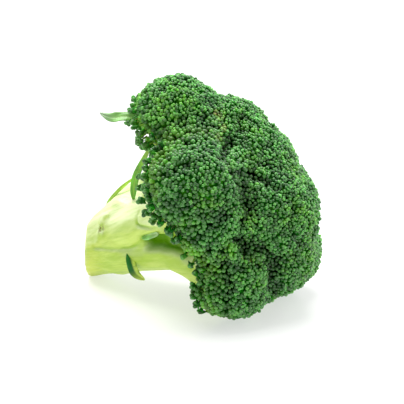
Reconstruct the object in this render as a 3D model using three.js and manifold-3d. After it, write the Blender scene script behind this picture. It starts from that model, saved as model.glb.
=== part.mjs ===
// A head of broccoli lying on its side, as it rests on a table. Millimetres, +Z up, the table at Z = 0.
// The cut end of the stem is at -X and the green crown at +X. -Y is the side that the photograph shows.
// The pale stem and all its branches grew as one body. Every branch carries its own floret, a rounded
// cluster of bud clumps, and the florets press against each other across narrow grooves.
// A few small leaves are left on the stem and under the crown.

import * as THREE from "three";
import { ConvexGeometry } from "three/addons/geometries/ConvexGeometry.js";
import { mergeVertices } from "three/addons/utils/BufferGeometryUtils.js";
import Module from "manifold-3d";

const wasm = await Module();
wasm.setup();

// Driving dimensions, in millimetres and degrees.
const gap = 0.35; // left between two pieces that touch
const crown = { centre: [68, -2, 58.5], tilt: 18 }; // the dome's middle, and how far its axis rises
// The bud clumps on a floret. They reach as many degrees from its middle as the coverages say, and the
// underside is drawn in by a share of the radius.
const clump = {
  spacing: 8.9,
  height: 3.4,
  rimCoverage: 108,
  innerCoverage: 78,
  jitter: 0.16,
  ring: 4,
  underside: 0.45,
};
const stem = {
  start: [-32, 0, 11],
  end: [36, -3, 46],
  startRadius: 15.5,
  endRadius: 29,
  cutPoint: [-19, 0, 16],
  cutNormal: [-0.9, -0.41, 0.12],
  trimPoint: [-16.4, 0, 32.5],
  trimNormal: [-0.78, -0.24, 0.58],
  sides: 18,
};
const blockSize = 400; // of the blocks that cut along a plane

// Each floret is given along the crown's axis, towards the near side and up the crown, from the crown's
// middle. Its branch leaves the stem at rootX, bows aside by bow and may be thicker than the rest. A floret
// on the rim shows its twigs from below.
const florets = [
  {
    name: "floret_top_near",
    along: -3,
    near: 12.5,
    up: 47.5,
    radius: 24,
    rootX: 10,
    bow: [7, 4, -1],
    rim: true,
  },
  { name: "floret_top_far", along: -4, near: -22, up: 28.5, radius: 25, rootX: 2, rim: true },
  { name: "floret_upper_middle", along: 9, near: -5, up: 25.5, radius: 29, rootX: 24 },
  {
    name: "floret_side_near",
    along: 13,
    near: 35,
    up: 12,
    radius: 27,
    rootX: 14,
    bow: [0, -1, -7],
    thick: 1.3,
    rim: true,
  },
  { name: "floret_side_far", along: -2, near: -30, up: 10, radius: 28.5, rootX: 10, rim: true },
  { name: "floret_centre", along: 12, near: -6, up: 10, radius: 34, rootX: 28 },
  { name: "floret_front", along: 19, near: -2, up: -11, radius: 35.5, rootX: 28 },
  {
    name: "floret_lower_side_near",
    along: 14.5,
    near: 28,
    up: -11,
    radius: 23.5,
    rootX: 18,
    bow: [2, 5, 4],
    rim: true,
  },
  { name: "floret_lower_side_far", along: 12, near: -28, up: -8, radius: 27, rootX: 18, rim: true },
  { name: "floret_bottom_middle", along: 19, near: -5, up: -32, radius: 28, rootX: 22 },
  {
    name: "floret_bottom_near",
    along: 8.5,
    near: 17.5,
    up: -40.2,
    radius: 24.7,
    rootX: 0,
    bow: [-2, -7, 9],
    thick: 1.35,
    rim: true,
  },
  { name: "floret_bottom_far", along: 7, near: -32, up: -38.3, radius: 26, rootX: 2, rim: true },
];

// A small leaf: the line of its midrib, its greatest half width, where along it that is, and which way
// its blade faces.
const leaves = [
  {
    name: "leaf_top",
    line: [[42, -20, 97], [35, -25, 101], [29, -29.5, 103.5], [22, -34, 103], [17, -37.5, 105.5]],
    halfWidth: 2.6,
    widest: 0.62,
    face: [0.35, -0.5, 0.8],
    wave: 0.5,
  },
  {
    name: "leaf_inner",
    line: [[25.5, -12, 51], [25.5, -17.5, 57], [29, -18.5, 69], [34, -18.5, 79], [37.5, -18, 87]],
    halfWidth: 2.5,
    widest: 0.3,
    face: [0.25, -0.9, 0.3],
    wave: 0.4,
  },
  {
    name: "leaf_ridge",
    line: [[-7, -5.5, 45], [-2.5, -7.5, 50], [4.5, -8, 56.5], [11.5, -7.5, 62], [17, -6, 65.5]],
    halfWidth: 1.8,
    widest: 0.5,
    face: [-0.25, -0.8, 0.5],
    wave: 0.2,
  },
  {
    name: "leaf_lower",
    line: [[24, -16, 27], [24, -24, 24], [26.5, -26.5, 19.5], [30, -26, 15.5], [33.5, -24.5, 13]],
    halfWidth: 3,
    widest: 0.45,
    face: [-0.4, -0.9, 0.1],
    wave: 0.3,
  },
  {
    name: "leaf_bract",
    line: [[39.5, -26, 40], [43.5, -32.5, 41], [48.5, -36, 42.5], [53.5, -38, 44]],
    halfWidth: 2.4,
    widest: 0.5,
    face: [-0.2, -0.85, 0.5],
    wave: 0.2,
  },
  {
    name: "leaf_under_top",
    line: [[41, -8, 76], [38, -12, 82], [38, -16, 88], [38, -18, 93]],
    halfWidth: 2.6,
    widest: 0.6,
    face: [-0.5, -0.8, 0.1],
    wave: 0.2,
  },
];
const leafThickness = 1.1;

const vector = (p) => new THREE.Vector3(...p);

// The crown's three directions: along its axis, towards the near side, and up across the dome.
const tilt = THREE.MathUtils.degToRad(crown.tilt);
const alongAxis = new THREE.Vector3(Math.cos(tilt), 0, Math.sin(tilt));
const nearAxis = new THREE.Vector3(0, -1, 0);
const upAxis = new THREE.Vector3(-Math.sin(tilt), 0, Math.cos(tilt));
const stemStart = vector(stem.start);
const stemEnd = vector(stem.end);
const stemAxis = stemEnd.clone().sub(stemStart).normalize();

// A repeatable random number between 0 and 1.
function seededRandom(seed) {
  let state = seed >>> 0;
  return () => {
    state = (state + 0x6d2b79f5) >>> 0;
    let t = Math.imul(state ^ (state >>> 15), 1 | state);
    t = (t + Math.imul(t ^ (t >>> 7), 61 | t)) ^ t;
    return ((t ^ (t >>> 14)) >>> 0) / 4294967296;
  };
}

function solidOf(geometry) {
  const bare = geometry.clone();
  bare.deleteAttribute("normal");
  bare.deleteAttribute("uv");
  const merged = mergeVertices(bare, 1e-4);
  return new wasm.Manifold(
    new wasm.Mesh({
      numProp: 3,
      vertProperties: new Float32Array(merged.attributes.position.array),
      triVerts: new Uint32Array(merged.index.array),
    }),
  );
}

function geometryOf(solid) {
  const mesh = solid.getMesh();
  const places = new Float32Array(mesh.numVert * 3);
  for (let i = 0; i < mesh.numVert; i++) {
    places.set(mesh.vertProperties.subarray(i * mesh.numProp, i * mesh.numProp + 3), i * 3);
  }
  const geometry = new THREE.BufferGeometry();
  geometry.setAttribute("position", new THREE.BufferAttribute(places, 3));
  geometry.setIndex(new THREE.BufferAttribute(new Uint32Array(mesh.triVerts), 1));
  const faceted = geometry.toNonIndexed();
  faceted.computeVertexNormals();
  return faceted;
}

// The largest body of a solid that a cut may have left with loose scraps.
function largest(solid) {
  return solid.decompose().reduce((best, body) => (body.volume() > best.volume() ? body : best));
}

// A big block whose one face lies on the plane through a point, on the side that the normal points to.
function blockBeyond(point, normal) {
  const block = new THREE.BoxGeometry(blockSize, blockSize, blockSize);
  block.translate(0, 0, blockSize / 2);
  const turn = new THREE.Quaternion().setFromUnitVectors(new THREE.Vector3(0, 0, 1), normal);
  block.applyQuaternion(turn);
  block.translate(point.x, point.y, point.z);
  return solidOf(block);
}

// A closed tube along a smooth line, grown outwards all round by the given amount. section(t, angle)
// gives its half sizes across the line, and its thin side faces the given way.
function tubeAlong(points, sides, steps, section, face, grow) {
  const line = new THREE.CatmullRomCurve3(points);
  const tube = new THREE.CylinderGeometry(1, 1, 1, sides, steps);
  const places = tube.attributes.position;
  const p = new THREE.Vector3();
  for (let i = 0; i < places.count; i++) {
    p.fromBufferAttribute(places, i);
    const t = THREE.MathUtils.clamp(p.y + 0.5, 0, 1);
    const tangent = line.getTangent(t);
    const out = face.clone().addScaledVector(tangent, -face.dot(tangent)).normalize();
    const side = new THREE.Vector3().crossVectors(tangent, out);
    const [half, thick] = section(t, Math.atan2(p.z, p.x)).map((size) => size + grow);
    const place = line.getPoint(t).addScaledVector(side, -p.x * half).addScaledVector(out, p.z * thick);
    if (t === 0 || t === 1) place.addScaledVector(tangent, t === 0 ? -grow : grow);
    places.setXYZ(i, place.x, place.y, place.z);
  }
  const solid = solidOf(tube);
  return solid.volume() > 0 ? solid : solidOf(turnedInsideOut(tube));
}

function turnedInsideOut(geometry) {
  const index = geometry.index.array;
  for (let i = 0; i < index.length; i += 3) {
    [index[i + 1], index[i + 2]] = [index[i + 2], index[i + 1]];
  }
  return geometry;
}

// The middle of a floret, the way it faces, and the root of its branch on the stem.
function placed(floret) {
  const centre = vector(crown.centre)
    .addScaledVector(alongAxis, floret.along)
    .addScaledVector(nearAxis, floret.near)
    .addScaledVector(upAxis, floret.up);
  const onStem = stemStart.clone().addScaledVector(stemAxis, (floret.rootX - stemStart.x) / stemAxis.x);
  const across = centre.clone().sub(onStem);
  across.addScaledVector(stemAxis, -across.dot(stemAxis)).normalize();
  const root = onStem.addScaledVector(across, 0.5 * stem.startRadius);
  const outward = centre.clone().sub(root).normalize();
  return { ...floret, centre, across, root, outward };
}

// A branch swings out from the stem and swells into the middle of its floret.
const branch = { rootRadius: 12, midRadius: 9, endRadius: 11, innerScale: 0.8, sides: 10, steps: 5 };

function branchLine(floret) {
  const reach = floret.centre.distanceTo(floret.root);
  const leaving = floret.root
    .clone()
    .addScaledVector(stemAxis, 0.18 * reach)
    .addScaledVector(floret.across, 0.1 * reach);
  const arriving = floret.centre.clone().addScaledVector(floret.outward, -0.35 * reach);
  arriving.addScaledVector(stemAxis, 0.05 * reach);
  const bow = vector(floret.bow ?? [0, 0, 0]);
  leaving.addScaledVector(bow, 0.5);
  arriving.add(bow);
  const end = floret.centre.clone().addScaledVector(floret.outward, -0.12 * floret.radius);
  return [floret.root, leaving, arriving, end];
}

function branchSolid(floret, grow) {
  const scale = floret.thick ?? (floret.rim ? 1 : branch.innerScale);
  const section = (t) => {
    const slim = THREE.MathUtils.lerp(branch.rootRadius, branch.midRadius, Math.min(1, t / 0.5));
    const radius = THREE.MathUtils.lerp(slim, branch.endRadius, THREE.MathUtils.smoothstep(t, 0.6, 1));
    return [radius * scale, radius * scale];
  };
  const face = new THREE.Vector3(0, 1, 0.2).normalize();
  return tubeAlong(branchLine(floret), branch.sides, branch.steps, section, face, grow);
}

// Twigs fan out from a rim floret's branch to the underside of its buds.
const twig = { count: 4, from: 0.6, radius: 3.4, tip: 2.6, spread: 0.74, sides: 5, steps: 2 };

function twigSolids(floret, grow) {
  const line = new THREE.CatmullRomCurve3(branchLine(floret));
  const from = line.getPoint(twig.from);
  const side = new THREE.Vector3().crossVectors(floret.outward, upAxis).normalize();
  const other = new THREE.Vector3().crossVectors(side, floret.outward).normalize();
  const made = [];
  for (let k = 0; k < twig.count; k++) {
    const turn = (2 * Math.PI * (k + 0.3)) / twig.count;
    const reach = twig.spread * floret.radius;
    const spread = side.clone().multiplyScalar(Math.cos(turn)).addScaledVector(other, Math.sin(turn));
    const tip = floret.centre
      .clone()
      .addScaledVector(spread, reach)
      .addScaledVector(floret.outward, -0.1 * floret.radius);
    const bend = from.clone().lerp(tip, 0.5).addScaledVector(spread, 0.12 * reach);
    const section = (t) => {
      const radius = THREE.MathUtils.lerp(twig.radius, twig.tip, t);
      return [radius, radius];
    };
    made.push(tubeAlong([from, bend, tip], twig.sides, twig.steps, section, alongAxis, grow));
  }
  return made;
}

function stemSolid(grow) {
  const section = (t, angle) => {
    const flute = 1 + 0.04 * Math.cos(5 * angle + 0.6) * t;
    const closing = 1 - 0.35 * THREE.MathUtils.smoothstep(t, 0.75, 1);
    const radius = THREE.MathUtils.lerp(stem.startRadius, stem.endRadius, t) * flute * closing;
    return [radius, radius];
  };
  const middle = stemStart.clone().lerp(stemEnd, 0.5);
  const up = new THREE.Vector3(0, 0, 1);
  const whole = tubeAlong([stemStart, middle, stemEnd], stem.sides, 6, section, up, grow);
  const trimNormal = vector(stem.trimNormal).normalize();
  return whole.subtract(blockBeyond(vector(stem.trimPoint).addScaledVector(trimNormal, grow), trimNormal));
}

// The stem with all its branches, grown outwards by the given amount.
function stalkSolid(grow) {
  const made = [stemSolid(grow)];
  for (const floret of placedFlorets) {
    made.push(branchSolid(floret, grow));
    if (floret.rim) made.push(...twigSolids(floret, grow));
  }
  return made.reduce((all, one) => all.add(one));
}

// Points spread evenly over a unit sphere by the golden angle, each shifted a little.
function spreadDirections(count, shift, random) {
  const golden = Math.PI * (3 - Math.sqrt(5));
  const found = [];
  for (let i = 0; i < count; i++) {
    const z = 1 - (2 * i + 1) / count;
    const ring = Math.sqrt(1 - z * z);
    const point = new THREE.Vector3(ring * Math.cos(golden * i), ring * Math.sin(golden * i), z);
    const nudge = new THREE.Vector3(random() - 0.5, random() - 0.5, random() - 0.5);
    found.push(point.addScaledVector(nudge, 2 * shift).normalize());
  }
  return found;
}

// The corners of a hull's triangles, as lists of three.
function trianglesOf(points) {
  const places = new ConvexGeometry(points).attributes.position;
  const found = [];
  for (let i = 0; i < places.count; i += 3) {
    found.push([0, 1, 2].map((k) => new THREE.Vector3().fromBufferAttribute(places, i + k)));
  }
  return found;
}

// A floret's cluster of bud clumps: a round form with a low dome for each clump and a valley between
// any three of them. Clumps cover it as far round as the coverage angle, and below that it is plain.
function lobeSolid(floret, seed) {
  const random = seededRandom(seed);
  const { spacing, height, jitter } = clump;
  const radius = floret.radius;
  const count = Math.round((4 * Math.PI * radius ** 2) / (0.866 * spacing ** 2));
  const all = spreadDirections(count, (jitter * spacing) / radius, random);
  const coverage = floret.rim ? clump.rimCoverage : clump.innerCoverage;
  const covered = Math.cos(THREE.MathUtils.degToRad(coverage));
  const isClump = (d) => d.dot(floret.outward) > covered;
  const clumps = all.filter(isClump);
  const points = [...all];
  for (const corners of trianglesOf(all)) {
    if (corners.every(isClump)) {
      points.push(corners[0].clone().add(corners[1]).add(corners[2]).normalize());
    }
  }
  for (const middle of clumps) {
    const side = new THREE.Vector3().crossVectors(middle, alongAxis).normalize();
    const other = new THREE.Vector3().crossVectors(middle, side);
    const start = random() * Math.PI;
    for (let k = 0; k < clump.ring; k++) {
      const turn = start + (2 * Math.PI * k) / clump.ring;
      const step = (0.3 * spacing) / radius;
      const point = middle
        .clone()
        .addScaledVector(side, Math.cos(turn) * step)
        .addScaledVector(other, Math.sin(turn) * step);
      points.push(point.normalize());
    }
  }
  const lift = clumps.map(() => 0.75 + 0.5 * random());
  const raised = (d) => {
    let best = Infinity;
    let which = 0;
    clumps.forEach((middle, i) => {
      const away = middle.distanceTo(d) * radius;
      if (away < best) {
        best = away;
        which = i;
      }
    });
    const dome = Math.sqrt(Math.max(0, 1 - (best / (0.61 * spacing)) ** 2));
    const swell = 0.7 * Math.sin(0.16 * radius * d.x + seed) * Math.cos(0.19 * radius * d.z + seed);
    const under = THREE.MathUtils.smoothstep(-d.dot(floret.outward), 0.3, 1);
    return (radius - height + height * dome * lift[which] + swell) * (1 - clump.underside * under);
  };
  const shape = new ConvexGeometry(points);
  const places = shape.attributes.position;
  const d = new THREE.Vector3();
  for (let i = 0; i < places.count; i++) {
    d.fromBufferAttribute(places, i).normalize();
    const place = floret.centre.clone().addScaledVector(d, raised(d));
    places.setXYZ(i, place.x, place.y, place.z);
  }
  return solidOf(shape);
}

// The flat where two neighbours press against each other, as seen from the first of them.
function grooveBlock(floret, other) {
  const apart = other.centre.clone().sub(floret.centre);
  const distance = apart.length();
  if (distance > floret.radius + other.radius + 2) return null;
  const normal = apart.normalize();
  const share = (distance ** 2 + floret.radius ** 2 - other.radius ** 2) / (2 * distance);
  return blockBeyond(floret.centre.clone().addScaledVector(normal, share - gap / 2), normal);
}

// A small leaf: a thin blade that tapers to both ends, thicker along its midrib.
function leafSolid(leaf, grow) {
  const section = (t, angle) => {
    const before = Math.min(1, t / leaf.widest);
    const after = Math.min(1, (1 - t) / (1 - leaf.widest));
    const shape = 0.32 + 0.68 * Math.sin((Math.PI / 2) * Math.min(before, after));
    const edge = 1 + 0.12 * Math.sin(14 * t + 2 * Math.cos(angle));
    return [leaf.halfWidth * shape * edge * Math.min(1, 6 * (1.08 - t)), leafThickness / 2];
  };
  const points = leaf.line.map((p, i) => vector(p).add(new THREE.Vector3(0, 0, leaf.wave * (i % 2))));
  return tubeAlong(points, 8, 10, section, vector(leaf.face).normalize(), grow);
}

const placedFlorets = florets.map(placed);
const below = blockBeyond(new THREE.Vector3(0, 0, 0), new THREE.Vector3(0, 0, -1));
const beyondCut = blockBeyond(vector(stem.cutPoint), vector(stem.cutNormal).normalize());
const socket = stalkSolid(gap);
const leafSlots = leaves.map((leaf) => leafSolid(leaf, gap)).reduce((all, one) => all.add(one));

const colours = {
  stalk: { color: 0xc9dd86, roughness: 0.55, metalness: 0 },
  floret: { color: 0x3d7a3c, roughness: 0.7, metalness: 0 },
  leaf: { color: 0x5fa347, roughness: 0.5, metalness: 0 },
};

const head = new THREE.Group();
head.name = "broccoli_head";

function addNode(name, solid, finish) {
  const mesh = new THREE.Mesh(geometryOf(largest(solid)), new THREE.MeshStandardMaterial(finish));
  mesh.name = name;
  head.add(mesh);
}

addNode("stalk", stalkSolid(0).subtract(beyondCut).subtract(below), colours.stalk);

placedFlorets.forEach((floret, i) => {
  let solid = lobeSolid(floret, i + 1);
  placedFlorets.forEach((other, k) => {
    const block = i === k ? null : grooveBlock(floret, other);
    if (block) solid = solid.subtract(block);
  });
  addNode(floret.name, solid.subtract(socket).subtract(leafSlots).subtract(below), colours.floret);
});

leaves.forEach((leaf) => {
  addNode(leaf.name, leafSolid(leaf, 0).subtract(socket).subtract(below), colours.leaf);
});

// The frame's origin is under the middle of the head, on the table.
const box = new THREE.Box3().setFromObject(head);
const middle = box.getCenter(new THREE.Vector3());
head.children.forEach((mesh) => mesh.geometry.translate(-middle.x, -middle.y, -box.min.z));

export default head;
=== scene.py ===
# A head of broccoli on its side. Metres, +Z up, the table at Z = 0, the crown at +X.
import math

import bpy
import bmesh
import numpy as np
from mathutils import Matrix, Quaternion, Vector, noise
from mathutils.bvhtree import BVHTree


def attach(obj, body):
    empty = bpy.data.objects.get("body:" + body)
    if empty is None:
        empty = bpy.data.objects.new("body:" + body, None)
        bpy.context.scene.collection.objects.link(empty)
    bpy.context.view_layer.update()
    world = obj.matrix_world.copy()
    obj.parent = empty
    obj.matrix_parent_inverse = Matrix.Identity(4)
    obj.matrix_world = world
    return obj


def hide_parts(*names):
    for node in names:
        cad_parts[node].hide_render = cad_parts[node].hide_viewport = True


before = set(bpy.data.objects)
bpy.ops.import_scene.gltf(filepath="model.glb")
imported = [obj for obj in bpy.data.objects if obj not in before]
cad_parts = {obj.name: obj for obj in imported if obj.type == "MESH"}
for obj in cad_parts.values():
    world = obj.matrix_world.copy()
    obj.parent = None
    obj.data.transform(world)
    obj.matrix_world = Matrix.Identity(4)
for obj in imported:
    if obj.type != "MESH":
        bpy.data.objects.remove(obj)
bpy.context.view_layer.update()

mm = 0.001


# Small helpers

def fromSrgb(red, green, blue):
    # 0 to 255 as seen on screen, to the linear colour that the shaders want
    out = []
    for value in (red, green, blue):
        value = value / 255
        out.append(value / 12.92 if value <= 0.04045 else ((value + 0.055) / 1.055) ** 2.4)
    return (*out, 1.0)


def smoothStep(values, low, high):
    t = np.clip((values - low) / (high - low), 0, 1)
    return t * t * (3 - 2 * t)


def unit(vectors):
    return vectors / np.maximum(np.linalg.norm(vectors, axis=-1, keepdims=True), 1e-12)


def addObject(name, mesh):
    made = bpy.data.objects.new(name, mesh)
    bpy.context.scene.collection.objects.link(made)
    return made


def cadCopy(nodeName, name):
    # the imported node's loose triangles, joined into one closed skin
    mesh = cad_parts[nodeName].data.copy()
    mesh.name = name
    bm = bmesh.new()
    bm.from_mesh(mesh)
    bmesh.ops.remove_doubles(bm, verts=bm.verts, dist=2e-6)
    bm.to_mesh(mesh)
    bm.free()
    mesh.materials.clear()
    return addObject(name, mesh)


def applyAll(made):
    depsgraph = bpy.context.evaluated_depsgraph_get()
    mesh = bpy.data.meshes.new_from_object(
        made.evaluated_get(depsgraph), preserve_all_data_layers=True, depsgraph=depsgraph
    )
    mesh.name = made.name
    made.modifiers.clear()
    made.data = mesh


def reskin(made, cell):
    remesh = made.modifiers.new("even skin", "REMESH")
    remesh.mode = "VOXEL"
    remesh.voxel_size = cell
    remesh.use_smooth_shade = True
    applyAll(made)


def getPoints(mesh):
    points = np.zeros(len(mesh.vertices) * 3)
    mesh.vertices.foreach_get("co", points)
    return points.reshape(-1, 3)


def setPoints(mesh, points):
    mesh.vertices.foreach_set("co", points.ravel())
    mesh.update()


def getNormals(mesh):
    normals = np.zeros(len(mesh.vertices) * 3)
    mesh.vertex_normals.foreach_get("vector", normals)
    return normals.reshape(-1, 3)


def getEdges(mesh):
    edges = np.zeros(len(mesh.edges) * 2, np.int64)
    mesh.edges.foreach_get("vertices", edges)
    return edges.reshape(-1, 2)


def relax(points, edges, rounds, amount=0.5):
    count = len(points)
    ends = np.concatenate([edges[:, 0], edges[:, 1]])
    others = np.concatenate([edges[:, 1], edges[:, 0]])
    degree = np.maximum(np.bincount(ends, minlength=count), 1)
    points = points.copy()
    for _ in range(rounds):
        for axis in range(3):
            mean = np.bincount(ends, weights=points[others, axis], minlength=count) / degree
            points[:, axis] += amount * (mean - points[:, axis])
    return points


def lineDistance(points, line):
    # distance from each point to a line of several stretches given in millimetres
    nearest = np.full(len(points), 1e9)
    for a, b in zip(line[:-1], line[1:]):
        a, b = np.array(a) * mm, np.array(b) * mm
        along = np.clip((points - a) @ (b - a) / ((b - a) @ (b - a)), 0, 1)
        gap = np.linalg.norm(points - a - along[:, None] * (b - a), axis=1)
        nearest = np.minimum(nearest, gap)
    return nearest


def viewAxes():
    # towards the camera, to the right and up, as in the picture
    azimuth, elevation = math.radians(33), math.radians(15)
    flat = math.cos(elevation)
    back = np.array([math.sin(azimuth) * flat, -math.cos(azimuth) * flat, math.sin(elevation)])
    right = np.array([math.cos(azimuth), math.sin(azimuth), 0])
    return back, right, np.cross(back, right)


def storeFloat(mesh, name, values):
    layer = mesh.attributes.new(name, "FLOAT", "POINT")
    layer.data.foreach_set("value", np.asarray(values, np.float32))


def storeVectors(mesh, name, values):
    layer = mesh.attributes.new(name, "FLOAT_VECTOR", "POINT")
    layer.data.foreach_set("vector", np.asarray(values, np.float32).ravel())


def noiseAt(points, scale, offset=(0, 0, 0)):
    shift = Vector(offset)
    return np.array([noise.noise(Vector(p) * scale + shift) for p in points])


# Materials

def newMaterial(name):
    material = bpy.data.materials.new(name)
    material.use_nodes = True
    tree = material.node_tree
    shader = tree.nodes["Principled BSDF"]
    return material, tree, shader


def addNode(tree, kind, **values):
    node = tree.nodes.new(kind)
    for key, value in values.items():
        setattr(node, key, value)
    return node


def readAttribute(tree, name):
    node = addNode(tree, "ShaderNodeAttribute", attribute_name=name)
    return node.outputs["Fac"]


def objectNoise(tree, scale, detail=2.0, roughness=0.5, vector=None):
    node = addNode(tree, "ShaderNodeTexNoise")
    node.inputs["Scale"].default_value = scale
    node.inputs["Detail"].default_value = detail
    node.inputs["Roughness"].default_value = roughness
    if vector is None:
        vector = addNode(tree, "ShaderNodeTexCoord").outputs["Object"]
    tree.links.new(vector, node.inputs["Vector"])
    return node.outputs["Fac"]


def ramp(tree, source, stops):
    node = addNode(tree, "ShaderNodeValToRGB")
    elements = node.color_ramp.elements
    while len(elements) < len(stops):
        elements.new(0.5)
    for element, (place, colour) in zip(elements, stops):
        element.position = place
        element.color = colour
    tree.links.new(source, node.inputs["Fac"])
    return node.outputs["Color"]


def mixColour(tree, factor, first, second, blend="MIX"):
    node = addNode(tree, "ShaderNodeMix", data_type="RGBA", blend_type=blend)
    for socket, value in ((node.inputs[0], factor), (node.inputs[6], first), (node.inputs[7], second)):
        if isinstance(value, bpy.types.NodeSocket):
            tree.links.new(value, socket)
        else:
            socket.default_value = value
    return node.outputs[2]


def mathNode(tree, operation, first, second=0.5, clamp=False):
    node = addNode(tree, "ShaderNodeMath", operation=operation, use_clamp=clamp)
    for socket, value in ((node.inputs[0], first), (node.inputs[1], second)):
        if isinstance(value, bpy.types.NodeSocket):
            tree.links.new(value, socket)
        else:
            socket.default_value = value
    return node.outputs[0]


def rangeNode(tree, source, fromLow, fromHigh, toLow=0.0, toHigh=1.0):
    node = addNode(tree, "ShaderNodeMapRange", interpolation_type="SMOOTHSTEP")
    node.inputs["From Min"].default_value = fromLow
    node.inputs["From Max"].default_value = fromHigh
    node.inputs["To Min"].default_value = toLow
    node.inputs["To Max"].default_value = toHigh
    tree.links.new(source, node.inputs["Value"])
    return node.outputs["Result"]


def addBump(tree, shader, height, distance, strength=1.0):
    node = addNode(tree, "ShaderNodeBump")
    node.inputs["Strength"].default_value = strength
    node.inputs["Distance"].default_value = distance
    tree.links.new(height, node.inputs["Height"])
    tree.links.new(node.outputs["Normal"], shader.inputs["Normal"])


budLook = {
    "foot": (8, 138, 0),
    "side": (4, 94, 1),
    # the pale rim at the top of each bud: its sepal margins, and partly a painted highlight
    "rim": (104, 166, 86),
    "tip": (22, 98, 18),
    "fresh": (104, 164, 40),
    "bluish": (16, 82, 34),
    "tired": (176, 170, 84),
    "roughness": 0.42,
    "softness": 0.35,
    "lightReach": 1.6 * mm,
}


def makeBudMaterial():
    material, tree, shader = newMaterial("bud skin")
    tip = readAttribute(tree, "tip")
    tint = readAttribute(tree, "tint")
    height = readAttribute(tree, "height")
    stray = readAttribute(tree, "stray")
    # from the foot to the tip; the pale rim is partly a painted highlight
    base = ramp(tree, tip, [
        (0.0, fromSrgb(*budLook["foot"])),
        (0.42, fromSrgb(*budLook["side"])),
        (0.78, fromSrgb(*budLook["rim"])),
        (1.0, fromSrgb(*budLook["tip"])),
    ])
    # patches of buds are about to open and yellower, others are closed and bluish
    patch = objectNoise(tree, 62, 3)
    youth = mathNode(tree, "ADD", mathNode(tree, "MULTIPLY", tint, 0.22), patch)
    fresh = rangeNode(tree, youth, 0.62, 0.90, 0.0, 0.6)
    patchy = rangeNode(tree, patch, 0.38, 0.60, 0.22, 0.90)
    shaded = mathNode(tree, "MULTIPLY", readAttribute(tree, "young"), patchy)
    fresh = mathNode(tree, "MAXIMUM", fresh, shaded)
    colour = mixColour(tree, fresh, base, fromSrgb(*budLook["fresh"]))
    closed = mathNode(tree, "MAXIMUM", rangeNode(tree, youth, 0.62, 0.42, 0.0, 0.45), stray)
    colour = mixColour(tree, closed, colour, fromSrgb(*budLook["bluish"]))
    colour = mixColour(tree, readAttribute(tree, "tired"), colour, fromSrgb(*budLook["tired"]))
    # each bud is a little lighter or darker than the next; buds deep in a groove are darker by painted
    # shade, and each floret gets its own painted light and shade
    spread = rangeNode(tree, tint, 0.0, 1.0, 0.55, 1.26)
    depth = rangeNode(tree, height, -1.6, 1.0, 0.50, 1.15)
    value = mathNode(tree, "MULTIPLY", spread, depth)
    value = mathNode(tree, "MULTIPLY", value, readAttribute(tree, "tone"))
    grey = addNode(tree, "ShaderNodeCombineColor")
    for socket in grey.inputs[:3]:
        tree.links.new(value, socket)
    colour = mixColour(tree, 1.0, colour, grey.outputs[0], "MULTIPLY")
    tree.links.new(colour, shader.inputs["Base Color"])
    shader.inputs["Roughness"].default_value = budLook["roughness"]
    # light soaks through the thin bud skins
    shader.inputs["Subsurface Weight"].default_value = budLook["softness"]
    shader.inputs["Subsurface Radius"].default_value = (0.15, 1.0, 0.08)
    shader.inputs["Subsurface Scale"].default_value = budLook["lightReach"]
    # waxy on top, dull between the buds
    tree.links.new(rangeNode(tree, tip, 0.4, 0.85, 0.1, 0.55), shader.inputs["Specular IOR Level"])
    addBump(tree, shader, objectNoise(tree, 1400, 2), 0.00025, 0.5)
    return material


coreLook = {
    "deep": (8, 96, 2),
    "deepFleck": (60, 140, 8),
    "under": (150, 184, 74),
    "underFleck": (96, 146, 40),
    # painted shade in the grooves between the florets
    "groove": (2, 44, 1),
}


def makeCoreMaterial():
    material, tree, shader = newMaterial("twigs under the buds")
    under = readAttribute(tree, "under")
    grain = rangeNode(tree, objectNoise(tree, 420, 3), 0.45, 0.7)
    deep = mixColour(tree, grain, fromSrgb(*coreLook["deep"]), fromSrgb(*coreLook["deepFleck"]))
    pale = mixColour(tree, grain, fromSrgb(*coreLook["under"]), fromSrgb(*coreLook["underFleck"]))
    colour = mixColour(tree, under, deep, pale)
    # painted shade: the core is darkest down in the grooves
    colour = mixColour(tree, readAttribute(tree, "pit"), colour, fromSrgb(*coreLook["groove"]))
    tree.links.new(colour, shader.inputs["Base Color"])
    shader.inputs["Roughness"].default_value = 0.8
    shader.inputs["Specular IOR Level"].default_value = 0.1
    addBump(tree, shader, objectNoise(tree, 500, 3), 0.0008)
    return material


# Florets

# from the stem's own axes, in which the places below are given, to the frame's origin, in millimetres
frameShift = (49.3, -4.2, 0.0)

# the crown's middle and tilt, and each floret's place along its axis, towards the near side and up,
# with its radius
crown = {"middle": (68, -2, 58.5), "tilt": 18, "root": (8, -2, 32)}
floretPlaces = {
    "floret_top_near": (-3, 12.5, 47.5, 24),
    "floret_top_far": (-4, -22, 28.5, 25),
    "floret_upper_middle": (9, -5, 25.5, 29),
    "floret_side_near": (13, 35, 12, 27),
    "floret_side_far": (-2, -30, 10, 28.5),
    "floret_centre": (12, -6, 10, 34),
    "floret_front": (19, -2, -11, 35.5),
    "floret_lower_side_near": (14.5, 28, -11, 23.5),
    "floret_lower_side_far": (12, -28, -8, 27),
    "floret_bottom_middle": (19, -5, -32, 28),
    "floret_bottom_near": (8.5, 17.5, -40.2, 24.7),
    "floret_bottom_far": (7, -32, -38.3, 26),
}

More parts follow.
